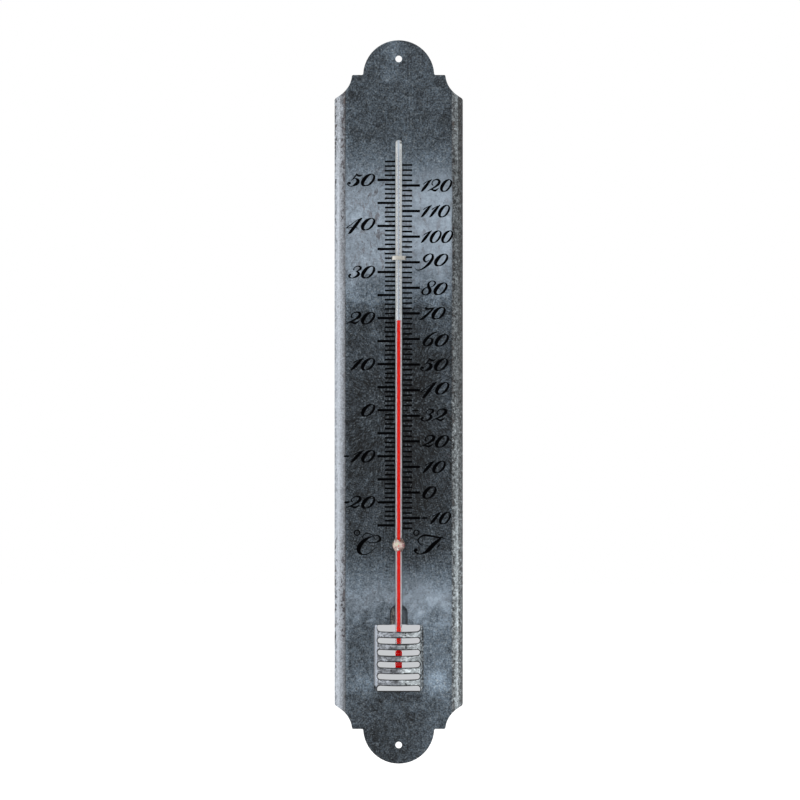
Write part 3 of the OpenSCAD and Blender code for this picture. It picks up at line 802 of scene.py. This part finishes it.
def pen_stroke(bm, points, closed, place, lift):
    """A flat stroke of changing width on the plate, with round ends. place puts a point on the plate."""
    path = smooth_path(points, closed)
    count = len(path)
    rails = []
    for i, (x, z, width) in enumerate(path):
        before = path[i - 1] if i or closed else path[i]
        after = path[(i + 1) % count] if i < count - 1 or closed else path[i]
        run = Vector((after[0] - before[0], after[1] - before[1])).normalized()
        half = max(width * 1.12 + 1.2, 2.2) / 2
        rails.append((Vector((x, z)), Vector((-run.y, run.x)) * half, run * half))
    rows = [(middle + out, middle - out) for middle, out, _ in rails]
    if not closed:
        rows = cap(rails[0], (75, 50, 25), -1) + rows + cap(rails[-1], (25, 50, 75), 1)
    rings = []
    for a, b in rows:
        a, b = place(a), place(b)
        rings.append([
            bm.verts.new((a[0], INK_FRONT - lift, a[1])),
            bm.verts.new((b[0], INK_FRONT - lift, b[1])),
            bm.verts.new((b[0], INK_BACK, b[1])),
            bm.verts.new((a[0], INK_BACK, a[1])),
        ])
    if closed:
        rings.append(rings[0])
    else:
        bm.faces.new(rings[0])
        bm.faces.new(reversed(rings[-1]))
    skin(bm, rings)


def write(bm, figure, x, z, wide=1.0):
    """Writes a figure with its middle at x, z. Each of its strokes lies a hair higher than the last."""

    def place(p):
        return (x + p[0] * UNIT * wide, z + p[1] * UNIT)

    for number, points in enumerate(FIGURES[figure]):
        pen_stroke(bm, points, figure in CLOSED, place, number * 0.002 * MM)


# How far the next figure's middle is from this one's, in tenths of a millimetre.
STEP = {"1": 77, "2": 101, "3": 92, "4": 98, "5": 93, "6": 80, "7": 81, "8": 84, "9": 94, "0": 95}
STEP |= {"11": 69, "12": 62, "32": 83}
# The last nought is centred on the height of the whole number, so it moves beside a figure that reaches
# higher or lower.
RISE = {"4": 13, "9": 16, "8": -6, "6": -8.5, "7": 2}


def number(bm, text, x, z, wide=1.0, from_right=False):
    """Writes a number whose first figure's middle is at x, or the last one's if from_right."""
    steps = [STEP.get(a + b, STEP[a]) for a, b in zip(text, text[1:])]
    if from_right:
        x -= sum(steps) * UNIT * wide
    for i, figure in enumerate(text):
        rise = RISE.get(text[i - 1], 0) * UNIT if i else 0.0
        write(bm, figure, x, z + rise, wide)
        if i < len(steps):
            x += steps[i] * UNIT * wide


def celsius_z(t):
    """The height of a temperature in the Celsius row."""
    return FREEZING + t * DEGREE


def fahrenheit_z(t):
    """The height of a temperature in the Fahrenheit row."""
    return FREEZING - FAHRENHEIT_DROP + (t - 32) / 1.8 * DEGREE


# Heights of the two scale letters, and of the degree ring before each.
LETTER_Z, RING_Z = -98.3 * MM, -90.4 * MM

bm = bmesh.new()
for t in (50, 40, 30, 20, 10, 0):
    number(bm, str(t), -21.0 * MM, celsius_z(t), from_right=True)
for t, minus_x, wide in ((-10, -36.1, 1.0), (-20, -35.8, 0.93)):
    number(bm, str(-t), -20.9 * MM, celsius_z(t), from_right=True)
    write(bm, "-", minus_x * MM, celsius_z(t), wide)
write(bm, "C", -20.4 * MM, LETTER_Z)
write(bm, "o", -28.8 * MM, RING_Z)
piece(bm, "celsius_numerals", "black_ink", smooth=False)

bm = bmesh.new()
# Each number, the x of its first figure in millimetres, and its width's share.
for text, x, wide in (
    ("120", 19.2, 0.84), ("110", 19.2, 0.84), ("100", 19.2, 0.84), ("90", 20.1, 1.0), ("80", 20.7, 1.0),
    ("70", 19.6, 1.0), ("60", 21.9, 1.0), ("50", 20.2, 1.0), ("40", 20.4, 1.0), ("32", 19.9, 1.0),
    ("20", 20.0, 1.0), ("10", 20.7, 0.95), ("0", 21.4, 1.0),
):
    # The freezing point's own number is printed beside the mark for 30.
    z = fahrenheit_z(30) + 0.5 * MM if text == "32" else fahrenheit_z(float(text))
    number(bm, text, x * MM, z, wide)
number(bm, "10", 25.5 * MM, fahrenheit_z(-10), 0.86)
write(bm, "-", 17.8 * MM, fahrenheit_z(-10))
write(bm, "F", 21.2 * MM, LETTER_Z)
write(bm, "o", 12.2 * MM, RING_Z)
piece(bm, "fahrenheit_numerals", "black_ink", smooth=False)

# Glass and spirit. Sizes and places are in millimetres until they go into a mesh.

STEM_R, STEM_Y = 2.25, -2.35
TIP_Z = 180.7
BEAD_R, BEAD_FILLET = 4.5, 1.2
BULB_LOW, BULB_TOP, BULB_R, BULB_CORNER, BULB_WALL = -185.65, -171.55, 2.45, 1.6, 0.5
BORE_TOP, BORE_WIDE, BORE_DEEP = 174.45, 1.1, 0.4
BACKING_LOW = -155.55
# The bore and the spirit in it are pinched to a hair's width through the bead. Each row is a level of a
# rod: its height, the share of its width, its x, and its slant.
NECK = [
    (-101.8, 1.0, 0.0, 2.2), (-101.1, 0.5, 0.1, 0.6), (-100.6, 0.22, 0.1, 0.0),
    (-97.6, 0.22, 0.1, 0.0), (-97.3, 0.5, 0.1, -0.5), (-96.9, 1.0, 0.0, -1.4),
]
# Air in the glass, in the bead and the tip: bubbles as x, y from the stem's middle, z and radius.
BUBBLES = [
    (-2.4, -2.3, -96.2, 0.42), (-0.3, -3.4, -100.9, 0.38), (2.3, -2.4, -100.4, 0.4),
    (1.2, -3.3, -97.2, 0.22), (-1.9, -2.9, -100.0, 0.24), (0.9, -1.35, 178.8, 0.3),
]
# The thread's foot, which stands still, ends here, and the upper thread starts above it.
STRETCH_FROM = -92.0
# Wet spirit overlaps the glass by a hair: width and depth of the thread, and its overlap in the bulb.
WET_WIDE, WET_DEEP, WET_BULB = 1.13, 0.42, 0.01


def arc(cx, cz, r, a0, a1, parts):
    """Points from angle a0 to a1, in degrees, on a circle of a lathe's profile."""
    turns = [radians(a0 + (a1 - a0) * k / parts) for k in range(parts + 1)]
    return [(cx + r * cos(a), cz + r * sin(a)) for a in turns]


def lathe(bm, profile, sides, inward=False):
    """Turns a profile of radius and height about the stem's axis, inward for a hollow in the glass."""
    rings = []
    for r, z in profile:
        if r < 1e-6:
            rings.append([bm.verts.new((0.0, STEM_Y * MM, z * MM))])
            continue
        turns = [2 * pi * k / sides for k in range(sides)]
        spots = [(r * sin(a), STEM_Y - r * cos(a), z) for a in turns]
        rings.append([bm.verts.new(Vector(spot) * MM) for spot in spots])
    made = skin(bm, rings)
    if inward:
        bmesh.ops.reverse_faces(bm, faces=made)


def glass_profile():
    """The outside of bulb, stem, bead and tip, from the bottom up."""
    inner = BULB_R - BULB_CORNER
    points = [(0.0, BULB_LOW)] + arc(inner, BULB_LOW + BULB_CORNER, BULB_CORNER, -90, 0, 10)
    meets = degrees(acos((STEM_R - inner) / BULB_CORNER))
    points += arc(inner, BULB_TOP - BULB_CORNER, BULB_CORNER, 0, meets, 6)
    reach = sqrt((BEAD_R + BEAD_FILLET) ** 2 - (STEM_R + BEAD_FILLET) ** 2)
    angle = degrees(atan2(reach, STEM_R + BEAD_FILLET))
    points += arc(STEM_R + BEAD_FILLET, BEAD_Z - reach, BEAD_FILLET, 180, 180 - angle, 8)
    points += arc(0.0, BEAD_Z, BEAD_R, -angle, angle, 40)[1:]
    points += arc(STEM_R + BEAD_FILLET, BEAD_Z + reach, BEAD_FILLET, 180 + angle, 180, 8)[1:]
    return points + arc(0.0, TIP_Z - STEM_R, STEM_R, 0, 90, 14)[:-1] + [(0.0, TIP_Z)]


def cavity_profile(grown):
    """The hollow of the bulb, larger all round by grown."""
    r, corner = BULB_R - BULB_WALL + grown, BULB_CORNER - BULB_WALL
    bottom, top = BULB_LOW + BULB_WALL - grown, BULB_TOP - BULB_WALL + grown
    points = [(0.0, bottom)] + arc(r - corner, bottom + corner, corner, -90, 0, 8)
    return points + arc(r - corner, top - corner, corner, 0, 90, 8)[:-1] + [(0.0, top)]


def whole(z):
    """A level at height z of a rod's whole width."""
    return (z, 1.0, 0.0, 0.0)


def slot_rod(bm, wide, deep, levels, inward=False):
    """An upright rod in the middle of the bore, of a flat section with round edges, through its levels."""
    flat, steps = (wide - deep) / 2, 12
    section = []
    for side in (1, -1):
        for k in range(steps + 1):
            a = radians(-90 + 180 * k / steps)
            section.append((side * (flat + deep / 2 * cos(a)), side * deep / 2 * sin(a)))
    rings = []
    for z, share, x, slant in levels:
        rings.append([
            bm.verts.new(((x + sx * share) * MM, (BORE_Y + sy * share) * MM, (z + slant * sx * share) * MM))
            for sx, sy in section
        ])
    made = skin(bm, rings)
    made += [bm.faces.new(rings[0][::-1]), bm.faces.new(rings[-1])]
    if inward:
        bmesh.ops.reverse_faces(bm, faces=made)


column_low, column_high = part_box("spirit_column")
BORE_Y = (column_low.y + column_high.y) / 2 / MM

bm = bmesh.new()
lathe(bm, glass_profile(), 96)
lathe(bm, cavity_profile(0.0), 64, inward=True)
slot_rod(bm, BORE_WIDE, BORE_DEEP, [whole(BULB_TOP - 0.6), *NECK, whole(BORE_TOP)], inward=True)
for x, y, z, r in BUBBLES:
    hollow = bmesh.ops.create_icosphere(bm, subdivisions=3, radius=r * MM)["verts"]
    for v in hollow:
        v.co += Vector((x, STEM_Y + y, z)) * MM
    bmesh.ops.reverse_faces(bm, faces=list({face for v in hollow for face in v.link_faces}))
stem = piece(bm, "glass_stem", "clear_glass", outward=False)
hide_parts("glass_tube")

# The white stripe in the back of the stem closes over in the tip and swells in the bead. A row is its
# height, radius and reach in degrees to each side. In the swell, height is away from the bead's middle.
DOME_Z = TIP_Z - STEM_R
MILK_R, MILK_REACH, MILK_THICK, MILK_STEPS = 2.12, 55.0, 0.2, 14
SWELL = [(5.9, MILK_R, MILK_REACH), (4.7, 2.5, 64.0), (3.1, 3.3, 76.0), (1.5, 3.9, 84.0)]
stripe = [(BACKING_LOW, MILK_R, MILK_REACH)]
stripe += [(BEAD_Z - away, radius, reach) for away, radius, reach in SWELL]
stripe += [(BEAD_Z, 4.1, 86.0)]
stripe += [(BEAD_Z + away, radius, reach) for away, radius, reach in reversed(SWELL)]
stripe += [(DOME_Z - 1.6, MILK_R, MILK_REACH), (DOME_Z - 0.6, MILK_R, 66.0), (DOME_Z, MILK_R, 84.0)]
for a in (0.25, 0.5, 0.75, 1.0, 1.2, 1.35):
    stripe.append((DOME_Z + 2.1 * sin(a), 2.16 * cos(a), 95 + 60 * a))
there = list(range(-MILK_STEPS, MILK_STEPS + 1))
bm = bmesh.new()
rings = []
for z, radius, reach in stripe:
    ring = []
    for r, turns in ((radius - MILK_THICK, there), (radius, reversed(there))):
        for k in turns:
            a = radians(reach * k / MILK_STEPS)
            ring.append(bm.verts.new((r * sin(a) * MM, (STEM_Y + r * cos(a)) * MM, z * MM)))
    rings.append(ring)
skin(bm, rings)
for ring in (rings[0], rings[-1]):
    for k in range(2 * MILK_STEPS):
        far = len(ring) - 1 - k
        bm.faces.new((ring[k], ring[k + 1], ring[far - 1], ring[far]))
backing = piece(bm, "milk_stripe", "white_glass")
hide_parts("white_backing")

# The blob of the same milk round the neck of the bore in the bead, lumpy and higher on its left.
BLOB_WIDE, BLOB_DEEP, BLOB_TALL = 2.7, 1.5, 2.6
bm = bmesh.new()
bmesh.ops.create_icosphere(bm, subdivisions=5, radius=1.0)
for v in bm.verts:
    lump = 1.0 + 0.05 * sin(5 * v.co.x + 3 * v.co.z) * cos(4 * v.co.z - 2 * v.co.y)
    slope = 1.4 if v.co.z > 0 else 2.2
    tall = BLOB_TALL - slope * max(min(v.co.x * BLOB_WIDE, 0.6), -0.6)
    v.co = Vector((v.co.x * BLOB_WIDE, v.co.y * BLOB_DEEP, v.co.z * tall)) * lump * MM
    v.co += Vector((0.0, STEM_Y + 0.55, BEAD_Z - 0.45)) * MM
blob = piece(bm, "milk_blob", "white_glass")
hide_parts("white_backing")

# The spirit's thread stands still up to just above the bead. Below the milk it looks broader.
BROAD, BROAD_TOP = 1.27, BACKING_LOW - 0.35
low_thread = [(BULB_TOP - 1.2, BROAD, 0.0, 0.0), (BROAD_TOP, BROAD, 0.0, 0.0), whole(BROAD_TOP + 1.0)]
bm = bmesh.new()
slot_rod(bm, WET_WIDE, WET_DEEP, [*low_thread, *NECK, whole(STRETCH_FROM)])
foot = piece(bm, "spirit_foot", "red_spirit", outward=False)
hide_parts("spirit_column")

bm = bmesh.new()
lathe(bm, cavity_profile(WET_BULB), 64)
fill = piece(bm, "spirit_in_bulb", "red_spirit", outward=False)
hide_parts("bulb_spirit")

# Above the bead, the upper thread, up to the column's top.
bm = bmesh.new()
slot_rod(bm, WET_WIDE, WET_DEEP, [whole(STRETCH_FROM), whole(column_high.z / MM)])
column = piece(bm, "spirit_thread", "red_spirit", body=None, outward=False)
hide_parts("spirit_column")

# Its free top is rounded: each row is a drop from the very top and the share of the width there.
top_low, top_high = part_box("spirit_top")
rows = ((0.14, 1.0), (0.06, 0.9), (0.0, 0.62))
crown = [(top_high.z / MM - drop, share, 0.0, 0.0) for drop, share in rows]
bm = bmesh.new()
slot_rod(bm, WET_WIDE, WET_DEEP, [whole(top_low.z / MM), *crown])
top = piece(bm, "spirit_meniscus", "red_spirit", body="liquid_level", outward=False)
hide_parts("spirit_top")
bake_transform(column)

# Stage, lights and view.

WHITE = (1.0, 1.0, 1.0, 1.0)
# The small card close behind the guard: width, height, y and middle height.
CARD_WIDE, CARD_TALL, CARD_Y, CARD_Z = 80.0 * MM, 64.0 * MM, 6.6 * MM, GUARD_Z + 4.0 * MM


def seen_directly(g):
    """One for what the camera sees, also by gloss or through glass, and nought for light on a surface."""
    rays = g.node("LightPath").outputs
    by_glass = g.larger(rays["Is Glossy Ray"], rays["Is Transmission Ray"])
    return g.larger(rays["Is Camera Ray"], by_glass)


def floor_material():
    """A pale surface that lamps light as any other, and that camera, glass and metal see near white."""
    g = Graph("pale_floor")
    pale = g.mix(g.noise(3.0), linear(226, 226, 226), linear(232, 232, 232))
    plain = g.node("BsdfDiffuse", {"Color": pale})
    glow = g.node("Emission", {"Color": WHITE, "Strength": g.times(seen_directly(g), 0.66)})
    g.finish_with(g.node("AddShader", {0: plain.outputs[0], 1: glow.outputs[0]}))
    return g.material


def shade_material():
    """The shaded backdrop behind the guard, a painted shade that glows a fixed grey. It shows from its front
    only, and nothing mirrors it.
    """
    g = Graph("shaded_backdrop")
    rays = g.node("LightPath").outputs
    front = g.rest_of(g.node("NewGeometry").outputs["Backfacing"])
    shown = g.times(g.larger(rays["Is Camera Ray"], rays["Is Transmission Ray"]), front)
    tone = g.mix(g.noise(40.0), linear(197, 199, 202), linear(201, 203, 206))
    glow = g.node("Emission", {"Color": tone, "Strength": 1.0})
    clear = g.node("BsdfTransparent")
    g.finish_with(g.node("MixShader", {0: shown, 1: clear.outputs[0], 2: glow.outputs[0]}))
    return g.material


bm = bmesh.new()
bmesh.ops.create_grid(bm, x_segments=2, y_segments=2, size=3.0)
floor = placed("floor", finished(bm, "floor"))
floor.location = (0.0, 0.0, -0.34)
floor.data.materials.append(floor_material())

# Behind the slots of the guard the backdrop lies in the object's own shade; this card paints that shade as a
# fixed grey glow.
bm = bmesh.new()
bmesh.ops.create_grid(bm, x_segments=6, y_segments=8, size=0.5)
for v in bm.verts:
    v.co = Vector((v.co.x * CARD_WIDE, CARD_Y, CARD_Z + v.co.y * CARD_TALL))
shade_card = placed("shade_card", finished(bm, "shade_card", outward=False))
shade_card.data.materials.append(shade_material())


class WorldGraph(Graph):
    """The world's nodes, with the same short calls."""

    def __init__(self, world):
        world.use_nodes = True
        self.tree = world.node_tree
        self.tree.nodes.clear()
        self.end = self.node("OutputWorld")


scene.world = bpy.data.worlds.new("studio")
g = WorldGraph(scene.world)
light = g.lerp(seen_directly(g), 0.55, 1.0)
g.finish_with(g.node("Background", {"Color": WHITE, "Strength": light}))


def lamp(name, place, width, height, watts):
    """A soft rectangular lamp at a place, aimed at the middle of the object."""
    data = bpy.data.lights.new(name, "AREA")
    data.shape = "RECTANGLE"
    data.size, data.size_y = width, height
    data.energy = watts
    made = placed(name, data)
    made.location = place
    made.rotation_euler = (-Vector(place)).to_track_quat("-Z", "Y").to_euler()


lamp("key_left", (-1.5, -0.3, 0.15), 1.1, 1.4, 15.0)
lamp("fill_right", (1.3, -1.4, 0.5), 1.0, 1.2, 4.0)
lamp("top", (0.0, -0.5, 1.6), 1.4, 0.9, 8.0)

camera = placed("camera", bpy.data.cameras.new("camera"))
camera.data.lens = 117.2
camera.data.clip_start, camera.data.clip_end = 0.1, 50.0
camera.location = (0.9 * MM, -1.8, 1.35 * MM)
camera.rotation_euler = (radians(90), 0.0, 0.0)
scene.camera = camera
scene.view_settings.view_transform = "Standard"
